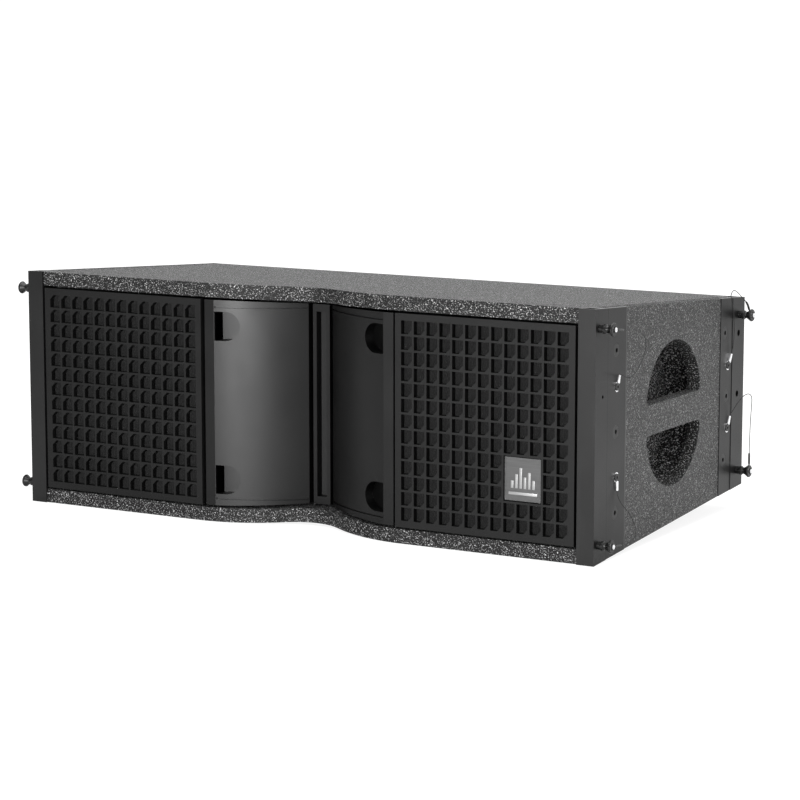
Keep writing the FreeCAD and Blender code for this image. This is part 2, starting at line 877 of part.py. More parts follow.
def make_flares():
    """Each flare is a moulded wall: a lip, a convex curve to the throat, and its two returns.

    A D-shaped port is let into it near each end: its round side has a wall down to a floor that
    runs parallel to the curve, and its flat side is open towards the space behind the lip.
    """
    centre = horn_centre()
    radius, wall = float(d.horn_radius), float(d.horn_wall)
    out, lip, throat = float(d.horn_out), float(d.horn_lip), float(d.horn_throat)
    face = float(front + d.horn_setback)
    side_back, throat_back = -150.0, -128.0
    groove, groove_wide = 2.2, 2.2
    skin = arc_between(centre, radius, lip, throat)
    inner = arc_between(centre, radius - wall, throat + wall, lip + 1)
    pieces = [
        [(out, side_back), (out, face)],
        [(out, face), (lip, face)],
        skin,
        [skin[-1], (throat, throat_back)],
        [(throat, throat_back), (throat + wall, throat_back)],
        [(throat + wall, throat_back), inner[0]],
        inner,
        [inner[-1], (out - wall, inner[-1][1])],
        [(out - wall, inner[-1][1]), (out - wall, side_back)],
        [(out - wall, side_back), (out, side_back)],
    ]
    behind = centre + vector(0, float(d.port_deep), 0)
    inmost, flat = float(d.port_centre - d.port_radius) - wall, lip - 0.5
    cup = [
        arc_between(centre, radius - wall / 2, flat, inmost),
        [on_arc(centre, radius - wall / 2, inmost), on_arc(behind, radius - wall, inmost)],
        arc_between(behind, radius - wall, inmost, flat),
        [on_arc(behind, radius - wall, flat), on_arc(centre, radius - wall / 2, flat)],
    ]
    cup_floor = [
        arc_between(behind, radius, flat, inmost),
        [on_arc(behind, radius, inmost), on_arc(behind, radius - wall, inmost)],
        arc_between(behind, radius - wall, inmost, flat),
        [on_arc(behind, radius - wall, flat), on_arc(behind, radius, flat)],
    ]
    shallow = [
        arc_between(centre, radius - groove, lip - 1, throat + 1),
        [on_arc(centre, radius - groove, throat + 1), on_arc(centre, radius + 2, throat + 1)],
        arc_between(centre, radius + 2, throat + 1, lip - 1),
        [on_arc(centre, radius + 2, lip - 1), on_arc(centre, radius - groove, lip - 1)],
    ]
    for name, side in SIDES.items():
        body = new_body(f"horn_flare_{name}")
        plan = new_sketch(body, "XY_Plane")
        outline(plan, mirrored(pieces, side))
        pad(body, plan, d.front_height)
        reach = d.port_radius + d.horn_wall
        for up in (1, -1):
            z = middle + up * d.port_rise
            walls = new_sketch(body, "XY_Plane", z - reach)
            outline(walls, mirrored(cup, side))
            pad(body, walls, 2 * reach)
            port = new_sketch(body, "XZ_Plane", -front)
            half, x_mid, z_mid = float(d.port_radius), float(d.port_centre), float(z)
            d_shape = [
                [(flat, z_mid + half), (x_mid, z_mid + half)],
                [(x_mid, z_mid + half), (x_mid - half, z_mid), (x_mid, z_mid - half)],
                [(x_mid, z_mid - half), (flat, z_mid - half)],
                [(flat, z_mid - half), (flat, z_mid + half)],
            ]
            outline(port, mirrored(d_shape, side))
            pocket(body, port, 60)
            floor = new_sketch(body, "XY_Plane", z - reach)
            outline(floor, mirrored(cup_floor, side))
            pad(body, floor, 2 * reach)
        for up in (1, -1):
            line = new_sketch(body, "XY_Plane", middle + up * 122.5 - groove_wide / 2)
            outline(line, mirrored(shallow, side))
            pocket(body, line, groove_wide, reverse=True)
        trim_to_taper(body, board_up + d.horn_gap)


WAVEGUIDE_FRONT = -128.0
WAVEGUIDE_BACK = 0.0


def make_slot_frame():
    """The frame round the slot at the horn's throat, and the cloth stretched inside it."""
    face = front + d.horn_deep + d.slot_setback
    back = size(WAVEGUIDE_FRONT)
    body = block("slot_frame", (-d.slot_half, face, 0), (d.slot_half, back, d.front_height))
    trim_to_taper(body, board_up + d.horn_gap)
    hole = new_sketch(body, "XZ_Plane", -face + 10)
    half = d.slot_long / 2
    rectangle(hole, (-d.slot_mouth, middle - half), (d.slot_mouth, middle + half))
    pocket(body, hole, reverse=False)
    near = face + 11.5
    low = (-d.slot_mouth, near, middle - half)
    block("slot_cloth", low, (d.slot_mouth, near + 0.8, middle + half))


def make_waveguide():
    """A wedge-shaped duct that turns the driver's round exit into the tall slot."""
    body = new_body("hf_waveguide")

    def sections(front_half, back_half):
        made = []
        for y, half in ((WAVEGUIDE_FRONT, front_half), (WAVEGUIDE_BACK, back_half)):
            sketch = new_sketch(body, "XZ_Plane", -y)
            rectangle(sketch, (-half[0], middle - half[1]), (half[0], middle + half[1]))
            made.append(sketch)
        return made

    for kind, front_half, back_half in (
        ("AdditiveLoft", (d.slot_half, d.slot_long / 2 + 4), (size(26), size(26))),
        ("SubtractiveLoft", (size(6), d.slot_long / 2 - 4), (size(18), size(18))),
    ):
        first, second = sections(front_half, back_half)
        loft = body.newObject(f"PartDesign::{kind}", "Loft")
        loft.Profile = first
        loft.Sections = [second]
        loft.Ruled = True
        body.Tip = loft
        doc.recompute()
    web = new_sketch(body, "XZ_Plane", -WAVEGUIDE_FRONT - 4)
    rectangle(web, (-1, middle - d.slot_long / 2 + 2), (1, middle + d.slot_long / 2 - 2))
    pad(body, web, 20, reverse=True)
    flange = new_sketch(body, "XZ_Plane", -WAVEGUIDE_BACK)
    circle(flange, (0, middle), 55)
    circle(flange, (0, middle), 18)
    pad(body, flange, 6, reverse=True)


def make_hf_driver():
    """The compression driver: front plate, magnet and rear cover round a hollow for the diaphragm."""
    profile = [
        (18, 0),
        (55, 0),
        (55, 8),
        (75, 8),
        (75, 42),
        (62, 46),
        (62, 60),
        (56, 66),
        (0, 66),
        (0, 60),
        (46, 60),
        (46, 42),
        (18, 42),
    ]
    turn_to_rear = FreeCAD.Rotation(vector(1, 0, 0), -90)
    spot = vector(0, WAVEGUIDE_BACK + 6, float(middle))
    driver = turned("hf_driver", profile)
    driver.Placement = FreeCAD.Placement(spot, turn_to_rear)
    dome = [(0, 52), (14, 51), (26, 48.4), (36, 44.6), (45, 44), (45, 44.8), (36.2, 45.5), (26, 49.4)]
    dome += [(14, 52), (0, 53)]
    diaphragm = turned("hf_diaphragm", dome)
    diaphragm.Placement = FreeCAD.Placement(spot, turn_to_rear)


# ---------------------------------------------------------------- woofers


def make_woofers():
    """Each woofer: a cast frame, a motor, a cone with its voice coil, and its suspension."""
    hole, rim = d.woofer_hole - 1.5, d.woofer_radius
    frame_profile = [
        (107, -6),
        (rim, -6),
        (rim, 0),
        (hole, 0),
        (hole, 10),
        (66, 72),
        (66, 78),
        (37, 78),
        (37, 73),
        (62, 73),
        (108, 10),
        (107, 4),
    ]
    motor_profile = [
        (0, 78),
        (30, 78),
        (30, 106),
        (35, 106),
        (35, 78),
        (52, 78),
        (52, 84),
        (60, 84),
        (60, 114),
        (56, 118),
        (0, 118),
    ]
    cone_profile = [
        (0, 20),
        (18, 22),
        (31, 28),
        (33, 40),
        (93, -1),
        (93, 0.5),
        (33.5, 42.5),
        (33.5, 100),
        (32, 100),
        (32, 41),
        (30, 29.5),
        (17, 23.5),
        (0, 21.5),
    ]
    roll_profile = [
        (93.3, -3.4),
        (95, -8.5),
        (100, -10.8),
        (105, -8.5),
        (106.7, -3.4),
        (106.7, -2.4),
        (104.3, -7.8),
        (100, -9.6),
        (95.7, -7.8),
        (93.3, -2.4),
    ]
    spider_profile = [(34, 62), (68.5, 62), (68.5, 63), (34, 63)]
    for name, side in SIDES.items():
        seat = woofer_placement(side)
        frame = turned(f"woofer_frame_{name}", frame_profile)
        cut_frame_windows(frame)
        pieces = [frame]
        pieces.append(turned(f"woofer_motor_{name}", motor_profile))
        pieces.append(turned(f"woofer_cone_{name}", cone_profile))
        for piece in pieces:
            piece.Placement = seat
        rings = [ring_of(roll_profile), ring_of(spider_profile)]
        suspension = add_shape(f"woofer_suspension_{name}", Part.makeCompound(rings))
        suspension.Placement = seat


def ring_of(profile):
    """A solid turned about Z from (radius, height) points."""
    points = [vector(r, 0, z) for r, z in profile]
    face = Part.Face(Part.makePolygon(points + points[:1]))
    return face.revolve(vector(0, 0, 0), vector(0, 0, 1), 360)


def cut_frame_windows(frame):
    """Six openings between the spokes of the frame."""
    window = new_sketch(frame, "XZ_Plane")
    rectangle(window, (60, 22), (130, 60))
    first = pocket(frame, window, 52, symmetric=True)
    doc.recompute()
    ring = frame.newObject("PartDesign::PolarPattern", "Windows")
    ring.Originals = [first]
    ring.Axis = (plane_of(frame, "Z_Axis"), [""])
    ring.Angle = 360
    ring.Occurrences = 6
    frame.Tip = ring


# ---------------------------------------------------------------- rear connectors and crossover


SOCKET_X = 34.0
SOCKET_RADIUS = 12.5


def make_input_plate():
    body = new_body("input_plate")
    half_wide, half_tall = d.plate_wide / 2, d.plate_tall / 2
    sketch = new_sketch(body, "XZ_Plane", -REAR_OUT)
    rectangle(sketch, (-half_wide, middle - half_tall), (half_wide, middle + half_tall))
    for x in (-SOCKET_X, SOCKET_X):
        circle(sketch, (x, middle), SOCKET_RADIUS + 0.2)
    for x, z in plate_screw_places():
        circle(sketch, (x, z), 2.2)
    pad(body, sketch, INPUT_PLATE_THICK, reverse=True)
    sockets = []
    for x in (-SOCKET_X, SOCKET_X):
        sockets.append(socket_shape(vector(x, REAR_OUT + INPUT_PLATE_THICK, float(middle))))
    add_shape("input_sockets", Part.makeCompound(sockets))


def plate_screw_places():
    half_wide, half_tall = float(d.plate_wide) / 2 - 7, float(d.plate_tall) / 2 - 7
    return [(i * half_wide, float(middle) + k * half_tall) for i in (-1, 1) for k in (-1, 1)]


def socket_shape(spot):
    """A round twist-lock connector: a thin flange, and a barrel with a blind well behind it."""
    rear_way = vector(0, 1, 0)
    flange = Part.makeCylinder(15.0, 1.6, spot, rear_way)
    barrel = Part.makeCylinder(SOCKET_RADIUS, 32.0, spot - rear_way * 32, rear_way)
    well = Part.makeCylinder(10.5, 22.0, spot - rear_way * 20, rear_way)
    key = Part.makeBox(3.0, 19.0, 2.0, spot + vector(-1.5, -19.5, 9.2))
    return flange.fuse(barrel).cut(well).fuse(key)


def make_crossover():
    """The filter board on four posts behind the rear panel, with its coils and capacitors."""
    wall = REAR_OUT - float(d.board)
    low = vector(-300.0, wall - 12.0, 100.0)
    wide, tall = 170.0, 110.0
    board = Part.makeBox(wide, 2.0, tall, low)
    parts = [board]
    for x in (8.0, wide - 8.0):
        for z in (8.0, tall - 8.0):
            parts.append(Part.makeCylinder(4.0, 10.0, low + vector(x, 2, z), vector(0, 1, 0)))
    for x, z, radius, deep in ((38, 74, 24, 22), (96, 74, 22, 26), (140, 30, 16, 18)):
        coil = Part.makeCylinder(radius, deep, low + vector(x, -deep, z), vector(0, 1, 0))
        bore = Part.makeCylinder(radius * 0.45, deep, low + vector(x, -deep, z), vector(0, 1, 0))
        parts.append(coil.cut(bore))
    for x in (20, 56, 92):
        parts.append(Part.makeCylinder(9.0, 30.0, low + vector(x - 10, -8.6, 18), vector(1, 0, 0)))
    whole = parts[0].multiFuse(parts[1:])
    add_shape("crossover", whole)


# ---------------------------------------------------------------- screws, terminals and lanyards


def countersunk_screw(spot, outward, head, shank, length, socket):
    """A countersunk screw whose flat head is flush with spot, with a hexagon socket."""
    deep = head - shank
    cone = Part.makeCone(shank, head, deep, spot - outward * deep, outward)
    rod = Part.makeCylinder(shank, length - deep, spot - outward * length, outward)
    screw = cone.fuse(rod)
    recess = Part.makeCylinder(socket, deep * 0.8, spot - outward * deep * 0.8, outward)
    return screw.cut(recess)


OUTWARD = vector(1, 0, 0)
RING_THICK = 1.2
RING_RADIUS = 6.2
RING_HOLE = 4.7


def make_screws():
    """All the fixing screws: rail plates, boards, input plate, woofers and ring terminals."""
    solids = []
    head, shank = float(d.screw_head), float(d.screw_shank)
    for side in SIDES.values():
        for y, z in rail_screw_places():
            spot = vector(side * (float(d.rail_face) - 0.1), float(y), float(z))
            solids.append(countersunk_screw(spot, vector(side, 0, 0), head, shank, 17.0, 2.9))
    for x, z in plate_screw_places():
        spot = vector(x, REAR_OUT + INPUT_PLATE_THICK, z)
        cap = Part.makeCylinder(3.6, 1.4, spot, vector(0, 1, 0))
        rod = Part.makeCylinder(1.9, INPUT_PLATE_THICK, spot, vector(0, -1, 0))
        solids.append(cap.fuse(rod))
    for x, y, level, up in grille_screw_places():
        outward = vector(0, 0, up)
        seat = vector(x, y, level - SCREW_SUNK * up)
        socket = Part.makeCylinder(1.4, 0.8, seat + outward * 0.7, outward)
        solids.append(Part.makeCylinder(3.0, 1.5, seat, outward).cut(socket))
    for side in SIDES.values():
        seat = woofer_placement(side)
        for index in range(8):
            angle = math.radians(45 * index + 22.5)
            spot = seat.multVec(vector(121 * math.cos(angle), 121 * math.sin(angle), -6))
            outward = seat.Rotation.multVec(vector(0, 0, -1))
            solids.append(Part.makeCylinder(3.5, 2.5, spot, outward))
    for y, z in TERMINALS.values():
        seat = vector(float(d.rail_face), y, z)
        recess = Part.makeCylinder(1.8, 1.4, seat + OUTWARD * 1.0, OUTWARD)
        solids.append(Part.makeCylinder(RING_HOLE - 0.2, 2.4, seat, OUTWARD).cut(recess))
    add_shape("screws", Part.makeCompound(solids))


# Each lanyard of the right-hand side: its wire's route from the ring terminal to its pin.
LANYARDS = {
    "lanyard_front_upper": [
        (414.4, -156.4, 221.8),
        (419.6, -158.6, 221.4),
        (425.0, -157.6, 218.8),
        (429.0, -152.0, 219.4),
        (429.6, -144.0, 223.4),
        (430.0, -135.0, 229.6),
        (430.6, -126.5, 237.8),
        (431.2, -120.2, 248.0),
        (431.5, -119.6, 258.6),
        (431.5, -127.0, 267.0),
        (431.5, -140.0, 272.0),
        (431.4, -156.0, 275.2),
        (431.2, -178.5, 278.6),
        (431.0, -199.2, 281.0),
    ],
    "lanyard_front_lower": [
        (414.4, -160.0, 81.6),
        (415.3, -159.8, 76.6),
        (417.8, -158.8, 70.0),
        (421.0, -156.0, 63.6),
        (424.4, -152.2, 57.6),
        (427.4, -147.6, 50.4),
        (429.8, -143.2, 42.0),
        (431.4, -141.0, 33.0),
        (431.8, -144.5, 24.5),
        (431.6, -154.0, 20.6),
        (431.4, -168.0, 20.4),
        (431.2, -184.0, 21.9),
        (431.0, -199.2, 23.2),
    ],
    "lanyard_rear_upper": [
        (414.4, 174.2, 207.2),
        (415.5, 176.2, 213.3),
        (416.8, 176.0, 224.5),
        (418.0, 174.5, 239.0),
        (419.0, 170.5, 254.0),
        (420.0, 165.2, 267.0),
        (420.6, 158.6, 277.0),
        (421.8, 151.6, 285.4),
        (423.4, 156.8, 292.2),
        (424.8, 166.0, 288.4),
        (426.0, 178.0, 280.5),
        (426.6, 188.0, 275.0),
        (427.0, 196.5, 268.5),
        (427.2, 200.0, 261.5),
    ],
    "lanyard_rear_lower": [
        (414.4, 172.2, 126.7),
        (416.0, 175.6, 130.4),
        (418.1, 179.3, 136.0),
        (420.6, 182.7, 142.0),
        (423.6, 186.4, 147.6),
        (427.2, 190.6, 152.2),
        (431.0, 196.2, 153.6),
        (433.2, 200.4, 148.6),
        (433.0, 200.4, 140.5),
        (432.7, 199.4, 129.0),
        (432.3, 198.4, 113.0),
        (431.8, 198.4, 93.0),
        (431.3, 199.0, 75.0),
        (431.0, 200.0, 59.4),
    ],
}
TERMINALS = {
    "lanyard_front_upper": (-160.5, 207.4),
    "lanyard_front_lower": (-160.0, 98.1),
    "lanyard_rear_upper": (166.5, 192.8),
    "lanyard_rear_lower": (166.6, 111.6),
}


def rounded_route(points):
    """Straight runs joined by arcs, each as large as its two runs allow. Returns wire and radii."""
    points = [vector(*point) for point in points]
    edges, radii = [], []
    start = points[0]
    for before, corner, after in zip(points, points[1:], points[2:]):
        way_in = (corner - before).normalize()
        way_out = (after - corner).normalize()
        turn = way_in.getAngle(way_out)
        shorter = min((corner - before).Length, (after - corner).Length)
        reach = 0.45 * shorter
        radius = reach / math.tan(turn / 2)
        enter, leave = corner - way_in * reach, corner + way_out * reach
        bisector = (way_out - way_in).normalize()
        middle_point = corner + bisector * (radius / math.cos(turn / 2) - radius)
        edges.append(Part.LineSegment(start, enter).toShape())
        edges.append(Part.Arc(enter, middle_point, leave).toShape())
        radii.append(radius)
        start = leave
    edges.append(Part.LineSegment(start, points[-1]).toShape())
    return Part.Wire(edges), radii


def make_lanyards():
    radius = float(d.wire) / 2
    for label, points in LANYARDS.items():
        route, radii = rounded_route(points)
        direction = vector(*points[1]) - vector(*points[0])
        ring = Part.Wire([Part.Circle(vector(*points[0]), direction, radius).toShape()])
        tube = route.makePipeShell([ring], True, True)
        add_shape(label, tube)
        ideal = math.pi * radius**2 * route.Length
        print(label, "length", round(route.Length, 1), "least radius", round(min(radii), 1))
        print("   volume over section times length", round(tube.Volume / ideal, 4))


def make_terminals():
    """Ring terminals on the rail plates, one at the foot of each lanyard, with tapered lugs."""
    solids = []
    face = float(d.rail_face)
    for label, (y, z) in TERMINALS.items():
        end = vector(*LANYARDS[label][0])
        centre = vector(face, y, z)
        ring = Part.makeCylinder(RING_RADIUS, RING_THICK, centre, OUTWARD)
        hole = Part.makeCylinder(RING_HOLE, 3 * RING_THICK, centre, OUTWARD)
        foot = vector(end.x, y, z)
        way = (end - foot).normalize()
        mouth = end - way * 0.7
        barrel = Part.makeCylinder(1.9, (mouth - foot).Length - RING_RADIUS + 1.0, mouth, way * -1)
        across = way.cross(OUTWARD) * 1.9
        near = centre + way * (RING_RADIUS - 1.5) + OUTWARD * 0.2
        far = mouth + OUTWARD * (near.x - mouth.x)
        corners = [near + across * 1.8, far + across, far - across, near - across * 1.8]
        lug = Part.Face(Part.makePolygon(corners + corners[:1])).extrude(OUTWARD * 2.4)
        solids.append(ring.fuse([barrel, lug]).cut(hole))
    add_shape("ring_terminals", Part.makeCompound(solids))


# ---------------------------------------------------------------- build, check, write


def sub_parts():
    """Every object that is a piece of the loudspeaker: the bodies and the plain shapes."""
    kinds = ("PartDesign::Body", "Part::Feature")
    return [thing for thing in doc.Objects if thing.TypeId in kinds]


def check_document():
    faults = [
        f"{thing.Label}: {thing.State}"
        for thing in doc.Objects
        if "Invalid" in thing.State or "Error" in thing.State
    ]
    for piece in sub_parts():
        if piece.Shape.isNull() or not piece.Shape.isValid() or not piece.Shape.Solids:
            faults.append(f"{piece.Label}: no valid solid")
    if faults:
        raise RuntimeError("; ".join(faults))


def write_parts():
    os.makedirs("parts", exist_ok=True)
    for piece in sub_parts():
        piece.Shape.exportStep(os.path.join("parts", f"{piece.Label}.step"))
    print(len(sub_parts()), "sub-parts written")


make_boards()
make_side_panels()
make_rear_panel()
make_baffles()
make_handle_cups()
make_rails()
make_links()
make_pins()
make_grilles()
make_grille_foam()
make_flares()
make_slot_frame()
make_waveguide()
make_hf_driver()
make_woofers()
make_input_plate()
make_crossover()
make_screws()
make_lanyards()
make_terminals()
doc.recompute()
check_document()
write_parts()
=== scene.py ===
"""Looks for the line array loudspeaker: camera, light, materials, lanyards and small trim.

Everything is in metres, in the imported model's frame: +X right, +Y to the rear, +Z up, the
grilles face -Y, and the cabinet stands on Z = 0.
"""

import json
import math

import bmesh
import bpy
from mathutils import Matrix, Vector


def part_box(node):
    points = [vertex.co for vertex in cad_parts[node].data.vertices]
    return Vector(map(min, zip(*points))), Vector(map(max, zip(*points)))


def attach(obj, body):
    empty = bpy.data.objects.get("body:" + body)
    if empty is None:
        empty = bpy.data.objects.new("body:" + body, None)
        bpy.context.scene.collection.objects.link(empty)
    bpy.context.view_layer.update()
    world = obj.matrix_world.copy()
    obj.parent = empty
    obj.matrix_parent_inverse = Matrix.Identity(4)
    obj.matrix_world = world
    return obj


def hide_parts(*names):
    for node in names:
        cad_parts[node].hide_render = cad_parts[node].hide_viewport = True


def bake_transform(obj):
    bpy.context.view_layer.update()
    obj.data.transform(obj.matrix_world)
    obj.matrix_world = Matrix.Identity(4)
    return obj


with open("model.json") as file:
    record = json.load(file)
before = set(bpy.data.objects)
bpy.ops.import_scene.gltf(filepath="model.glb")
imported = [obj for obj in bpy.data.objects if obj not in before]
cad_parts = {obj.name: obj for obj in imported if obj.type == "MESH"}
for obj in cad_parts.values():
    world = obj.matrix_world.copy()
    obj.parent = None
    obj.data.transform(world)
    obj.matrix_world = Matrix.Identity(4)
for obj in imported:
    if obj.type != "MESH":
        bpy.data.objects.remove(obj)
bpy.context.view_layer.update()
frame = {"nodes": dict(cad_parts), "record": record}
nodes = frame["nodes"]
scene = bpy.context.scene
SIDES = ("left", "right")
MM = 0.001


# ---------------------------------------------------------------- camera


def add_camera():
    """A long lens to the right of the front, a little above the cabinet."""
    azimuth, elevation = math.radians(30.10), math.radians(8.83)
    target = Vector((0.1491, -0.218, 0.1787))
    distance = 3.463
    back = Vector(
        (
            math.sin(azimuth) * math.cos(elevation),
            -math.cos(azimuth) * math.cos(elevation),
            math.sin(elevation),
        )
    )
    data = bpy.data.cameras.new("camera")
    data.lens = 128.1
    data.clip_start, data.clip_end = 0.05, 100
    camera = bpy.data.objects.new("camera", data)
    camera.location = target + back * distance
    camera.rotation_mode = "QUATERNION"
    camera.rotation_quaternion = (-back).to_track_quat("-Z", "Y")
    scene.collection.objects.link(camera)
    scene.camera = camera


# ---------------------------------------------------------------- node graphs


class Graph:
    """A material's nodes, with short calls for the few kinds that this scene uses."""

    def __init__(self, name, color=(0.5, 0.5, 0.5), roughness=0.5, metallic=0.0, specular=0.5):
        self.material = bpy.data.materials.new(name)
        self.material.use_nodes = True
        self.tree = self.material.node_tree
        self.shader = self.tree.nodes["Principled BSDF"]
        self.set("Base Color", (*color, 1))
        self.set("Roughness", roughness)
        self.set("Metallic", metallic)
        self.set("Specular IOR Level", specular)
        self.place = self.tree.nodes.new("ShaderNodeTexCoord").outputs["Object"]

    def set(self, socket, value):
        self.shader.inputs[socket].default_value = value

    def join(self, output, socket):
        self.tree.links.new(output, socket)

    def drive(self, socket, output):
        self.join(output, self.shader.inputs[socket])

    def stretched(self, scale):
        """Object coordinates, scaled differently along X, Y and Z."""
        node = self.tree.nodes.new("ShaderNodeMapping")
        node.inputs["Scale"].default_value = scale
        self.join(self.place, node.inputs["Vector"])
        return node.outputs["Vector"]

    def noise(self, scale, detail=2.0, roughness=0.5, distortion=0.0, vector=None):
        node = self.tree.nodes.new("ShaderNodeTexNoise")
        node.inputs["Scale"].default_value = scale
        node.inputs["Detail"].default_value = detail
        node.inputs["Roughness"].default_value = roughness
        node.inputs["Distortion"].default_value = distortion
        self.join(vector or self.place, node.inputs["Vector"])
        return node.outputs["Fac"]

    def cells(self, scale):
        node = self.tree.nodes.new("ShaderNodeTexVoronoi")
        node.inputs["Scale"].default_value = scale
        self.join(self.place, node.inputs["Vector"])
        return node.outputs["Distance"]

    def waves(self, scale, vector, direction="X"):
        node = self.tree.nodes.new("ShaderNodeTexWave")
        node.bands_direction = direction
        node.inputs["Scale"].default_value = scale
        self.join(vector, node.inputs["Vector"])
        return node.outputs["Fac"]

    def ramp(self, value, stops):
        """Colours by value: stops is a list of (position, grey or colour)."""
        node = self.tree.nodes.new("ShaderNodeValToRGB")
        elements = node.color_ramp.elements
        while len(elements) < len(stops):
            elements.new(0.5)
        for element, (position, color) in zip(elements, stops):
            element.position = position
            grey = (color,) * 3 if isinstance(color, (int, float)) else color
            element.color = (*grey, 1)
        self.join(value, node.inputs["Fac"])
        return node.outputs["Color"]

    def span(self, value, low, high, from_low=0.0, from_high=1.0):
        node = self.tree.nodes.new("ShaderNodeMapRange")
        node.inputs["From Min"].default_value = from_low
        node.inputs["From Max"].default_value = from_high
        node.inputs["To Min"].default_value = low
        node.inputs["To Max"].default_value = high
        self.join(value, node.inputs["Value"])
        return node.outputs["Result"]

    def along(self, axis):
        """Object coordinate X without its sign, or Y or Z as it is."""
        split = self.tree.nodes.new("ShaderNodeSeparateXYZ")
        self.join(self.place, split.inputs["Vector"])
        if axis != "X":
            return split.outputs[axis]
        unsigned = self.tree.nodes.new("ShaderNodeMath")
        unsigned.operation = "ABSOLUTE"
        self.join(split.outputs["X"], unsigned.inputs[0])
        return unsigned.outputs["Value"]

    def mix(self, factor, first, second, blend="MIX"):
        """Mixes two colours; each is a socket or a grey value, and so is the factor."""
        node = self.tree.nodes.new("ShaderNodeMix")
        node.data_type = "RGBA"
        node.blend_type = blend
        for socket, value in (
            (node.inputs["Factor"], factor),
            (node.inputs[6], first),
            (node.inputs[7], second),
        ):
            if isinstance(value, bpy.types.NodeSocket):
                self.join(value, socket)
            elif socket == node.inputs["Factor"]:
                socket.default_value = value
            else:
                socket.default_value = (value, value, value, 1)
        return node.outputs[2]

    def bump(self, height, distance, strength=1.0, over=None):
        node = self.tree.nodes.new("ShaderNodeBump")
        node.inputs["Distance"].default_value = distance
        node.inputs["Strength"].default_value = strength
        self.join(height, node.inputs["Height"])
        if over is not None:
            self.join(over, node.inputs["Normal"])
        self.drive("Normal", node.outputs["Normal"])
        return node.outputs["Normal"]


# ---------------------------------------------------------------- materials


def glint_speckled_paint(
    name, dark, light, sparse=0.57, scale=470.0, roughness=0.55, specular=0.2, face_x=None
):
    """Thick black cabinet paint: a pebbled coat, with pale specks painted on its highest bumps as
    glints.

    Inside face_x, in the openings that the face has, shade is painted in: the coat is darker and
    the painted glints paler.
    """
    g = Graph(name, roughness=roughness, specular=specular)
    pebbles = g.noise(scale, 2.0, 0.6)
    lumps = g.noise(scale * 0.45, 2.0)
    cloud = g.noise(6.0, 3.0)
    # Painted highlight: pale specks where the pebbles stand highest, in place of glints on the
    # bumps.
    glint_specks = g.ramp(pebbles, [(sparse, 0.0), (sparse + 0.07, 1.0)])
    faint = g.ramp(lumps, [(0.42, 0.35), (0.62, 1.0)])
    base = g.ramp(cloud, [(0.3, dark * 0.8), (0.7, dark * 1.2)])
    rough = g.span(pebbles, roughness + 0.15, roughness - 0.2, 0.35, 0.7)
    if face_x:
        # Painted shade: in the openings inside face_x the coat is painted near black, with paler
        # painted glints.
        unshaded_outer_face = g.span(g.along("X"), 0.0, 1.0, face_x - 0.8 * MM, face_x)
        base = g.mix(unshaded_outer_face, dark * 0.1, base)
        light = g.mix(unshaded_outer_face, light * 1.6, light)
        rough = g.mix(unshaded_outer_face, 0.9, rough)
    g.drive("Base Color", g.mix(g.mix(1.0, glint_specks, faint, "MULTIPLY"), base, light))
    g.drive("Roughness", rough)
    coarse = g.bump(lumps, 0.0006, 0.8)
    g.bump(pebbles, 0.0005, 1.0, over=coarse)
    return g.material


def powder_coat(name, tone=0.005, roughness=0.38, grain=1500.0, seam_y=None):
    """Smooth black powder coat on steel, with a fine orange peel and faint handling marks.

    Painted shade fills the narrow seam that runs upright at seam_y: it is painted black and matt
    there.
    """
    g = Graph(name, roughness=roughness, specular=0.26)
    peel = g.noise(grain, 2.0)
    cloud = g.noise(9.0, 3.0)
    streaks = g.noise(1.0, 3.0, vector=g.stretched((60.0, 60.0, 8.0)))
    scuffs = g.ramp(streaks, [(0.62, 0.0), (0.72, 1.0)])
    base = g.ramp(cloud, [(0.3, tone * 0.8), (0.7, tone * 1.25)])
    color = g.mix(scuffs, base, tone * 1.6)
    rough = g.span(cloud, roughness - 0.05, roughness + 0.06, 0.3, 0.7)
    if seam_y:
        # Painted shade: the seam is painted black and fully rough.
        across = g.span(g.along("Y"), 0.0, 1.0, seam_y - 5 * MM, seam_y + 5 * MM)
        seam_shade = g.ramp(across, [(0.40, 0.0), (0.46, 1.0), (0.54, 1.0), (0.60, 0.0)])
        color = g.mix(seam_shade, color, 0.0)
        rough = g.mix(seam_shade, rough, 1.0)
    g.drive("Base Color", color)
    g.drive("Roughness", rough)
    g.bump(peel, 0.00008, 0.6)
    return g.material


def moulded(name, tone, roughness, grain=2200.0, relief=0.00006, specular=0.4):
    """Black moulded plastic with a fine etched grain."""
    g = Graph(name, roughness=roughness, specular=specular)
    etch = g.noise(grain, 2.0, 0.6)
    cloud = g.noise(14.0, 2.0)
    g.drive("Base Color", g.ramp(cloud, [(0.3, tone * 0.85), (0.7, tone * 1.15)]))
    g.drive("Roughness", g.span(cloud, roughness - 0.04, roughness + 0.05, 0.3, 0.7))
    g.bump(etch, relief, 0.7)
    return g.material


def rubbed(name, tone, roughness, grain=900.0, specular=0.5):
    """The same black finish where handling has rubbed an edge: paler, smoother, patchy."""
    g = Graph(name, roughness=roughness, specular=specular)
    patches = g.noise(70.0, 4.0, 0.65)
    fine = g.noise(grain, 2.0)
    g.drive("Base Color", g.ramp(patches, [(0.40, tone * 0.35), (0.66, tone)]))
    g.drive("Roughness", g.span(patches, roughness + 0.12, roughness - 0.06, 0.35, 0.65))
    g.bump(fine, 0.00008, 0.6)
    return g.material


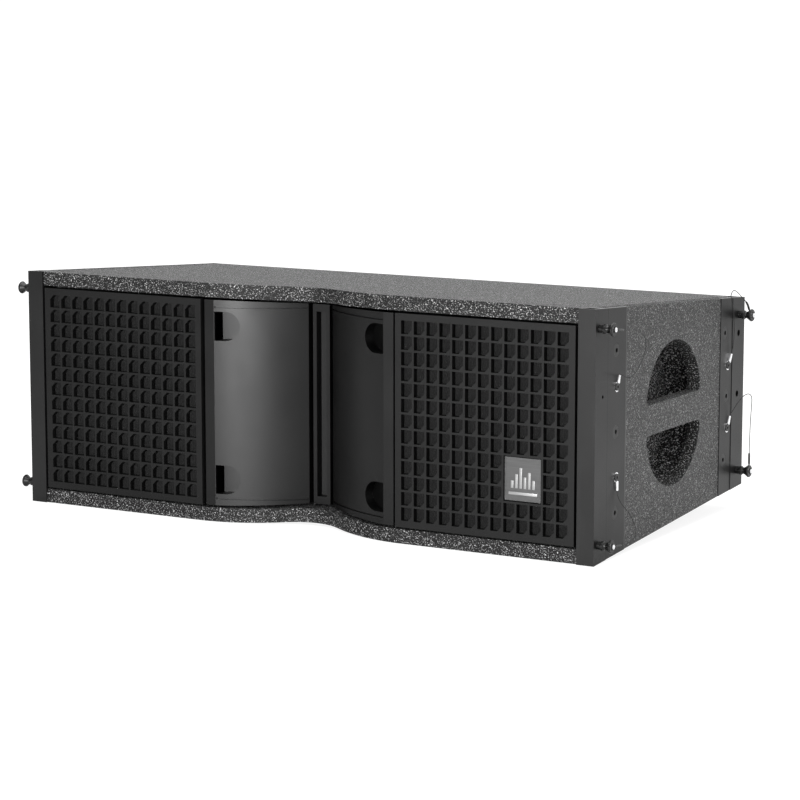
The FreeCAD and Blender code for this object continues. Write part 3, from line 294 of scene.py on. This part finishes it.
def open_foam(name):
    """Reticulated dark foam: small cells with thin paler struts, in upright ribs 2.5 mm apart."""
    g = Graph(name, roughness=0.95, specular=0.1)
    cells = g.cells(900.0)
    fibre = g.noise(1400.0, 3.0, 0.7)
    struts = g.ramp(cells, [(0.2, 0.006), (0.7, 0.018)])
    g.drive("Base Color", g.mix(g.ramp(fibre, [(0.35, 0.5), (0.7, 1.0)]), 0.007, struts))
    fine = g.bump(cells, 0.0004, 0.7)
    g.bump(g.waves(125.0, g.place), 0.0012, 0.9, over=fine)
    return g.material


def woven_cloth(name):
    """Black acoustic cloth: crossed threads about half a millimetre apart."""
    g = Graph(name, roughness=0.9, specular=0.15)
    upright = g.waves(620.0, g.place, "X")
    level = g.waves(620.0, g.place, "Z")
    weave = g.mix(0.5, upright, level)
    g.drive("Base Color", g.ramp(weave, [(0.2, 0.008), (0.8, 0.028)]))
    g.bump(weave, 0.00015, 0.7)
    return g.material


def bright_plating(name):
    """Nickel or chrome plating with faint handling marks."""
    g = Graph(name, color=(0.8, 0.8, 0.81), roughness=0.15, metallic=1.0)
    smear = g.noise(260.0, 3.0)
    g.drive("Roughness", g.span(smear, 0.06, 0.2, 0.3, 0.7))
    g.drive("Base Color", g.ramp(smear, [(0.3, (0.7, 0.7, 0.71)), (0.7, (0.9, 0.9, 0.91))]))
    return g.material


def turned_black(name, tone=0.004, roughness=0.28):
    """Blackened turned steel: fine rings round each part's own length."""
    g = Graph(name, roughness=roughness, specular=0.34)
    rings = g.noise(1.0, 2.0, vector=g.stretched((5200.0, 60.0, 60.0)))
    cloud = g.noise(180.0, 2.0)
    g.drive("Base Color", g.ramp(cloud, [(0.3, tone * 0.8), (0.7, tone * 1.5)]))
    g.drive("Roughness", g.span(cloud, roughness - 0.06, roughness + 0.1, 0.3, 0.7))
    g.bump(rings, 0.00003, 0.5)
    return g.material


def stranded_wire(name):
    """Twisted strands, blackened: slanting light and dark bands round the wire, from its UV map."""
    g = Graph(name, roughness=0.5, specular=0.25)
    uv = g.tree.nodes.new("ShaderNodeUVMap")
    uv.uv_map = "UVMap"
    bands = g.waves(1.0, uv.outputs["UV"], "DIAGONAL")
    g.drive("Base Color", g.ramp(bands, [(0.15, 0.004), (0.6, 0.018), (0.95, 0.04)]))
    g.drive("Roughness", g.span(bands, 0.6, 0.42))
    g.bump(bands, 0.00006, 0.8)
    return g.material


def brushed_plate(name, tone):
    """Satin metal with fine brush lines along X."""
    g = Graph(name, roughness=0.42, metallic=0.55, specular=0.5)
    lines = g.noise(1.0, 3.0, vector=g.stretched((40.0, 900.0, 2600.0)))
    g.drive("Base Color", g.ramp(lines, [(0.3, tone * 0.85), (0.7, tone * 1.15)]))
    g.drive("Roughness", g.span(lines, 0.36, 0.5, 0.3, 0.7))
    return g.material


def paper_cone(name):
    """Pressed paper: matt, with short fibres."""
    g = Graph(name, roughness=0.85, specular=0.2)
    fibres = g.noise(700.0, 4.0, 0.7, 1.5)
    g.drive("Base Color", g.ramp(fibres, [(0.3, 0.008), (0.7, 0.022)]))
    g.bump(fibres, 0.0002, 0.6)
    return g.material


def paper_white(name):
    """The studio floor: matt paper that the camera sees as an evenly lit white."""
    g = Graph(name, roughness=0.9, specular=0.1)
    seen = g.tree.nodes.new("ShaderNodeLightPath").outputs["Is Camera Ray"]
    g.set("Emission Color", (1, 1, 1, 1))
    g.drive("Base Color", g.mix(seen, 0.62, 0.2))
    g.drive("Emission Strength", g.span(seen, 0.0, 0.86))
    return g.material


def coloured_plastic(name, color, roughness=0.45):
    """Smooth plastic or lacquer in one colour, with faint clouds in it."""
    g = Graph(name, roughness=roughness, specular=0.5)
    cloud = g.noise(60.0, 3.0)
    deep = tuple(c * 0.8 for c in color)
    g.drive("Base Color", g.ramp(cloud, [(0.3, deep), (0.7, color)]))
    g.drive("Roughness", g.span(cloud, roughness - 0.05, roughness + 0.08, 0.3, 0.7))
    return g.material


SIDE_FACE_X = 411.2 * MM  # just inside the side panels' outer faces
RAIL_SEAM_Y = -184.55 * MM  # middle of the seam in the front rails

# One finish for each material slot, and side_board for the two side panels.
MATERIALS = {
    "cabinet_board": glint_speckled_paint("cabinet_paint", 0.004, 0.37, sparse=0.575, scale=640.0),
    # The side panels: painted shade and paler painted glints in their openings.
    "side_board": glint_speckled_paint(
        "side_paint",
        0.012,
        0.27,
        scale=640.0,
        roughness=0.5,
        specular=0.40,
        face_x=SIDE_FACE_X,
    ),
    "inner_board": glint_speckled_paint("inner_paint", 0.006, 0.06),
    "horn_moulding": moulded("horn_plastic", 0.001, 0.40, grain=1600.0, specular=0.25),
    "grille_moulding": moulded("grille_plastic", 0.003, 0.5, specular=0.18),
    "rail_coat": powder_coat("rail_powder_coat", seam_y=RAIL_SEAM_Y),
    "cast_frame": powder_coat("cast_frame_paint", 0.012, 0.55, grain=700.0),
    "magnet_steel": powder_coat("motor_paint", 0.012, 0.5, grain=900.0),
    "cone_paper": paper_cone("cone_paper"),
    "surround_rubber": moulded("surround_rubber", 0.008, 0.6, grain=900.0),
    # The handle cups: denser and paler painted glints than on the boards.
    "cup_moulding": glint_speckled_paint(
        "cup_paint", 0.006, 0.7, sparse=0.54, scale=480.0, roughness=0.6, specular=0.25
    ),
    "diaphragm_metal": brushed_plate("diaphragm_metal", 0.5),
    "foam": open_foam("grille_foam"),
    "acoustic_cloth": woven_cloth("slot_weave"),
    "badge_plate": brushed_plate("badge_metal", 0.065),
    "socket_moulding": moulded("socket_plastic", 0.012, 0.4),
    "circuit_board": coloured_plastic("circuit_board", (0.03, 0.10, 0.05)),
    "dark_screws": turned_black("screw_black", 0.012, 0.42),
    "plated_terminal": bright_plating("terminal_plating"),
    "link_steel": powder_coat("link_black", 0.006, 0.45),
    "black_pin": turned_black("pin_black"),
    "chrome_button": bright_plating("button_chrome"),
    "lanyard_wire": stranded_wire("lanyard_wire"),
}
rubbed_coat = rubbed("rail_edge_rubbed", 0.03, 0.4, specular=0.4)
rubbed_plastic = rubbed("plastic_edge_rubbed", 0.012, 0.42, specular=0.26)
screw_rim = turned_black("screw_rim", 0.001, 0.6)
rubbed_paint = glint_speckled_paint("paint_edge_rubbed", 0.012, 0.45, sparse=0.54, scale=600.0)
sleeve_plastic = moulded("sleeve_plastic", 0.01, 0.4)
emblem_metal = brushed_plate("emblem_metal", 0.24)
floor_paint = paper_white("floor_paper")


# ---------------------------------------------------------------- CAD nodes


# What a slot's edges get: how far they are rounded, and the finish of the rounding.
EDGES = {
    "cabinet_board": (1.1 * MM, rubbed_paint),
    "rail_coat": (0.35 * MM, rubbed_coat),
    "grille_moulding": (0.7 * MM, rubbed_plastic),
    "horn_moulding": (0.3 * MM, rubbed_plastic),
    "badge_plate": (0.3 * MM, MATERIALS["badge_plate"]),
    "link_steel": (0.6 * MM, rubbed_coat),
    "dark_screws": (0.6 * MM, screw_rim),
}


def dress_nodes():
    """Each CAD node takes its slot's material (side_board on the side panels) and smooth shading;
    the slots in EDGES also get softly rounded edges.
    """
    for part in frame["record"]["subparts"]:
        node = nodes[part["node"]]
        slot = part["material_slot"]
        if part["node"].startswith("side_panel"):
            look = MATERIALS["side_board"]
        else:
            look = MATERIALS[slot]
        node.data.materials.clear()
        node.data.materials.append(look)
        node.data.shade_smooth()
        node.data.set_sharp_from_angle(angle=math.radians(32))
        if slot in EDGES:
            width, finish = EDGES[slot]
            node.data.materials.append(finish)
            round_edges(node, width)


def round_edges(node, width):
    """Bevels the sharp edges, once flat areas are single faces; bevels take material 1."""
    flat = node.modifiers.new("join_flat_faces", "DECIMATE")
    flat.decimate_type = "DISSOLVE"
    flat.angle_limit = math.radians(0.5)
    soft = node.modifiers.new("round_edges", "BEVEL")
    soft.width = width
    soft.segments = 2
    soft.limit_method = "ANGLE"
    soft.angle_limit = math.radians(38)
    soft.use_clamp_overlap = True
    soft.harden_normals = True
    soft.material = 1


# ---------------------------------------------------------------- lanyards


LANYARDS = {
    "lanyard_front_upper": [
        (0.4144, -0.1564, 0.2218),
        (0.4196, -0.1586, 0.2214),
        (0.4250, -0.1576, 0.2188),
        (0.4290, -0.1520, 0.2194),
        (0.4296, -0.1440, 0.2234),
        (0.4300, -0.1350, 0.2296),
        (0.4306, -0.1265, 0.2378),
        (0.4312, -0.1202, 0.2480),
        (0.4315, -0.1196, 0.2586),
        (0.4315, -0.1270, 0.2670),
        (0.4315, -0.1400, 0.2720),
        (0.4314, -0.1560, 0.2752),
        (0.4312, -0.1785, 0.2786),
        (0.4310, -0.1992, 0.2810),
    ],
    "lanyard_front_lower": [
        (0.4144, -0.1600, 0.0816),
        (0.4153, -0.1598, 0.0766),
        (0.4178, -0.1588, 0.0700),
        (0.4210, -0.1560, 0.0636),
        (0.4244, -0.1522, 0.0576),
        (0.4274, -0.1476, 0.0504),
        (0.4298, -0.1432, 0.0420),
        (0.4314, -0.1410, 0.0330),
        (0.4318, -0.1445, 0.0245),
        (0.4316, -0.1540, 0.0206),
        (0.4314, -0.1680, 0.0204),
        (0.4312, -0.1840, 0.0219),
        (0.4310, -0.1992, 0.0232),
    ],
    "lanyard_rear_upper": [
        (0.4144, 0.1742, 0.2072),
        (0.4155, 0.1762, 0.2133),
        (0.4168, 0.1760, 0.2245),
        (0.4180, 0.1745, 0.2390),
        (0.4190, 0.1705, 0.2540),
        (0.4200, 0.1652, 0.2670),
        (0.4206, 0.1586, 0.2770),
        (0.4218, 0.1516, 0.2854),
        (0.4234, 0.1568, 0.2922),
        (0.4248, 0.1660, 0.2884),
        (0.4260, 0.1780, 0.2805),
        (0.4266, 0.1880, 0.2750),
        (0.4270, 0.1965, 0.2685),
        (0.4272, 0.2000, 0.2615),
    ],
    "lanyard_rear_lower": [
        (0.4144, 0.1722, 0.1267),
        (0.4160, 0.1756, 0.1304),
        (0.4181, 0.1793, 0.1360),
        (0.4206, 0.1827, 0.1420),
        (0.4236, 0.1864, 0.1476),
        (0.4272, 0.1906, 0.1522),
        (0.4310, 0.1962, 0.1536),
        (0.4332, 0.2004, 0.1486),
        (0.4330, 0.2004, 0.1405),
        (0.4327, 0.1994, 0.1290),
        (0.4323, 0.1984, 0.1130),
        (0.4318, 0.1984, 0.0930),
        (0.4313, 0.1990, 0.0750),
        (0.4310, 0.2000, 0.0594),
    ],
}
WIRE_RADIUS = 0.5 * MM
SLEEVE_RADIUS = 1.4 * MM
SLEEVE_LONG = 15 * MM


def spline_points(points):
    """Points along the smooth curve that the route's points control."""
    curve = bpy.data.curves.new("route", "CURVE")
    curve.dimensions = "3D"
    curve.resolution_u = 10
    spline = curve.splines.new("NURBS")
    spline.points.add(len(points) - 1)
    for control, point in zip(spline.points, points):
        control.co = (*point, 1)
    spline.order_u = 3
    spline.use_endpoint_u = True
    holder = bpy.data.objects.new("route", curve)
    scene.collection.objects.link(holder)
    bpy.context.view_layer.update()
    mesh = bpy.data.meshes.new_from_object(holder)
    path = [vertex.co.copy() for vertex in mesh.vertices]
    bpy.data.objects.remove(holder)
    bpy.data.meshes.remove(mesh)
    return path


def length_of(path):
    """Length along a list of points."""
    return sum((b - a).length for a, b in zip(path, path[1:]))


def tube(name, path, radius_at, sides, material, twist=0.0):
    """A closed tube along a path. radius_at gives its radius from the distance along it.

    Its UV map runs round the tube and along it in millimetres.
    """
    mesh = bpy.data.meshes.new(name)
    form = bmesh.new()
    uv_layer = form.loops.layers.uv.new("UVMap")
    normal = (path[1] - path[0]).orthogonal().normalized()
    travelled = 0.0
    rings, distances = [], []
    for index, point in enumerate(path):
        before, after = path[max(index - 1, 0)], path[min(index + 1, len(path) - 1)]
        along = (after - before).normalized()
        normal = (normal - along * normal.dot(along)).normalized()
        across = along.cross(normal)
        if index:
            travelled += (point - path[index - 1]).length
        radius = radius_at(travelled)
        ring = []
        for step in range(sides):
            angle = 2 * math.pi * step / sides + twist * travelled
            spot = point + (normal * math.cos(angle) + across * math.sin(angle)) * radius
            ring.append(form.verts.new(spot))
        rings.append(ring)
        distances.append(travelled / MM)
    for row in range(len(rings) - 1):
        for step in range(sides):
            following = (step + 1) % sides
            corners = (rings[row][step], rings[row][following], rings[row + 1][following])
            face = form.faces.new((*corners, rings[row + 1][step]))
            face.smooth = True
            around = (step, step + 1, step + 1, step)
            rows = (row, row, row + 1, row + 1)
            for loop, turn, level in zip(face.loops, around, rows):
                loop[uv_layer].uv = (turn / sides, distances[level])
    form.faces.new(list(reversed(rings[0])))
    form.faces.new(rings[-1])
    bmesh.ops.recalc_face_normals(form, faces=form.faces)
    form.to_mesh(mesh)
    form.free()
    mesh.materials.append(material)
    piece = bpy.data.objects.new(name, mesh)
    scene.collection.objects.link(piece)
    return piece


def add_lanyards():
    """A wire from each ring terminal to its pin, with a sleeve at the pin's end."""
    for label, points in LANYARDS.items():
        pin_body = label.replace("lanyard", "pin") + "_right_body"
        path = spline_points(points)
        wire = tube(f"{label}_wire", path, lambda _: WIRE_RADIUS, 10, MATERIALS["lanyard_wire"])
        end = []
        left = SLEEVE_LONG
        for point in reversed(path):
            if end:
                left -= (point - end[-1]).length
            end.append(point)
            if left < 0:
                break
        end_long = length_of(end)

        def sleeve_radius(distance):
            taper = min(distance, end_long - distance, 1.5 * MM) / (1.5 * MM)
            return SLEEVE_RADIUS * (0.75 + 0.25 * taper)

        sleeve = tube(f"{label}_sleeve", end, sleeve_radius, 16, sleeve_plastic)
        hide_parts(label)
        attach(sleeve, pin_body)
        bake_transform(wire)


# ---------------------------------------------------------------- badge emblem


def slab(name, low, high, material, round_off):
    """A thin block with rounded edges, from its lowest corner to its highest."""
    low, high = Vector(low), Vector(high)
    mesh = bpy.data.meshes.new(name)
    form = bmesh.new()
    bmesh.ops.create_cube(form, size=1.0)
    for vertex in form.verts:
        unit = vertex.co + Vector((0.5, 0.5, 0.5))
        vertex.co = Vector(a + (b - a) * u for a, b, u in zip(low, high, unit))
    bmesh.ops.bevel(
        form, geom=form.edges[:], offset=round_off, segments=3, profile=0.5, affect="EDGES"
    )
    form.to_mesh(mesh)
    form.free()
    mesh.shade_smooth()
    mesh.set_sharp_from_angle(angle=math.radians(50))
    mesh.materials.append(material)
    piece = bpy.data.objects.new(name, mesh)
    scene.collection.objects.link(piece)
    return piece


def add_emblem():
    """A plain row of level-meter bars on the badge, over a plain strip."""
    low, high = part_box("badge")
    floor_y = low.y + 0.5 * MM
    wide = high.x - low.x
    base = low.z + 15 * MM
    heights = (9, 17, 25, 14, 20, 11)
    pitch = (wide - 14 * MM) / len(heights)
    for index, height in enumerate(heights):
        x = low.x + 7 * MM + pitch * (index + 0.5)
        bar = slab(
            f"badge_bar_{index + 1}",
            (x - pitch * 0.3, floor_y - 0.35 * MM, base),
            (x + pitch * 0.3, floor_y + 0.3 * MM, base + height * MM),
            emblem_metal,
            0.15 * MM,
        )
        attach(bar, "cabinet")
    strip = slab(
        "badge_strip",
        (low.x + 5 * MM, floor_y - 0.2 * MM, base - 9 * MM),
        (high.x - 5 * MM, floor_y + 0.3 * MM, base - 4.5 * MM),
        emblem_metal,
        0.15 * MM,
    )
    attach(strip, "cabinet")


# ---------------------------------------------------------------- studio


def add_floor():
    """A pale floor that reaches 150 m each way, just under the cabinet."""
    half = 150.0
    mesh = bpy.data.meshes.new("floor")
    level = -0.4 * MM
    plan = ((-half, -half), (half, -half), (half, half), (-half, half))
    mesh.from_pydata([(x, y, level) for x, y in plan], [], [(0, 1, 2, 3)])
    mesh.materials.append(floor_paint)
    floor = bpy.data.objects.new("floor", mesh)
    scene.collection.objects.link(floor)


def add_softbox(name, azimuth, elevation, distance, wide, tall, power):
    """A rectangular area light that looks at the cabinet from that direction."""
    a, e = math.radians(azimuth), math.radians(elevation)
    back = Vector((math.sin(a) * math.cos(e), -math.cos(a) * math.cos(e), math.sin(e)))
    data = bpy.data.lights.new(name, "AREA")
    data.shape = "RECTANGLE"
    data.size, data.size_y = wide, tall
    data.energy = power
    light = bpy.data.objects.new(name, data)
    light.location = Vector((0, 0, 0.15)) + back * distance
    light.rotation_mode = "QUATERNION"
    light.rotation_quaternion = (-back).to_track_quat("-Z", "Y")
    scene.collection.objects.link(light)


def add_surroundings():
    """A backdrop that looks white, and gives least light from the front left."""
    world = bpy.data.worlds.new("studio")
    world.use_nodes = True
    tree = world.node_tree
    backdrop = tree.nodes["Background"]
    backdrop.inputs["Color"].default_value = (1, 1, 1, 1)
    toward = tree.nodes.new("ShaderNodeVectorMath")
    toward.operation = "DOT_PRODUCT"
    toward.inputs[1].default_value = (-0.87, -0.5, 0)
    give = tree.nodes.new("ShaderNodeMapRange")
    limits = {"From Min": -1, "From Max": 1, "To Min": 1.65, "To Max": 0.1}
    for socket, value in limits.items():
        give.inputs[socket].default_value = value
    seen = tree.nodes.new("ShaderNodeLightPath")
    strength = tree.nodes.new("ShaderNodeMix")
    strength.inputs["B"].default_value = 1.02
    place = tree.nodes.new("ShaderNodeTexCoord")
    join = tree.links.new
    join(place.outputs["Generated"], toward.inputs[0])
    join(toward.outputs["Value"], give.inputs["Value"])
    join(seen.outputs["Is Camera Ray"], strength.inputs["Factor"])
    join(give.outputs["Result"], strength.inputs["A"])
    join(strength.outputs["Result"], backdrop.inputs["Strength"])
    scene.world = world


def add_studio():
    add_surroundings()
    scene.view_settings.view_transform = "Standard"
    add_softbox(
        "front_softbox", azimuth=7, elevation=4, distance=3.2, wide=0.8, tall=0.6, power=128
    )
    add_softbox(
        "overhead_softbox", azimuth=0, elevation=89, distance=3.2, wide=4.0, tall=4.0, power=175
    )
    add_softbox(
        "rear_softbox", azimuth=205, elevation=13, distance=3.2, wide=2.4, tall=1.0, power=6
    )
    add_floor()


add_camera()
add_lanyards()
dress_nodes()
add_emblem()
add_studio()
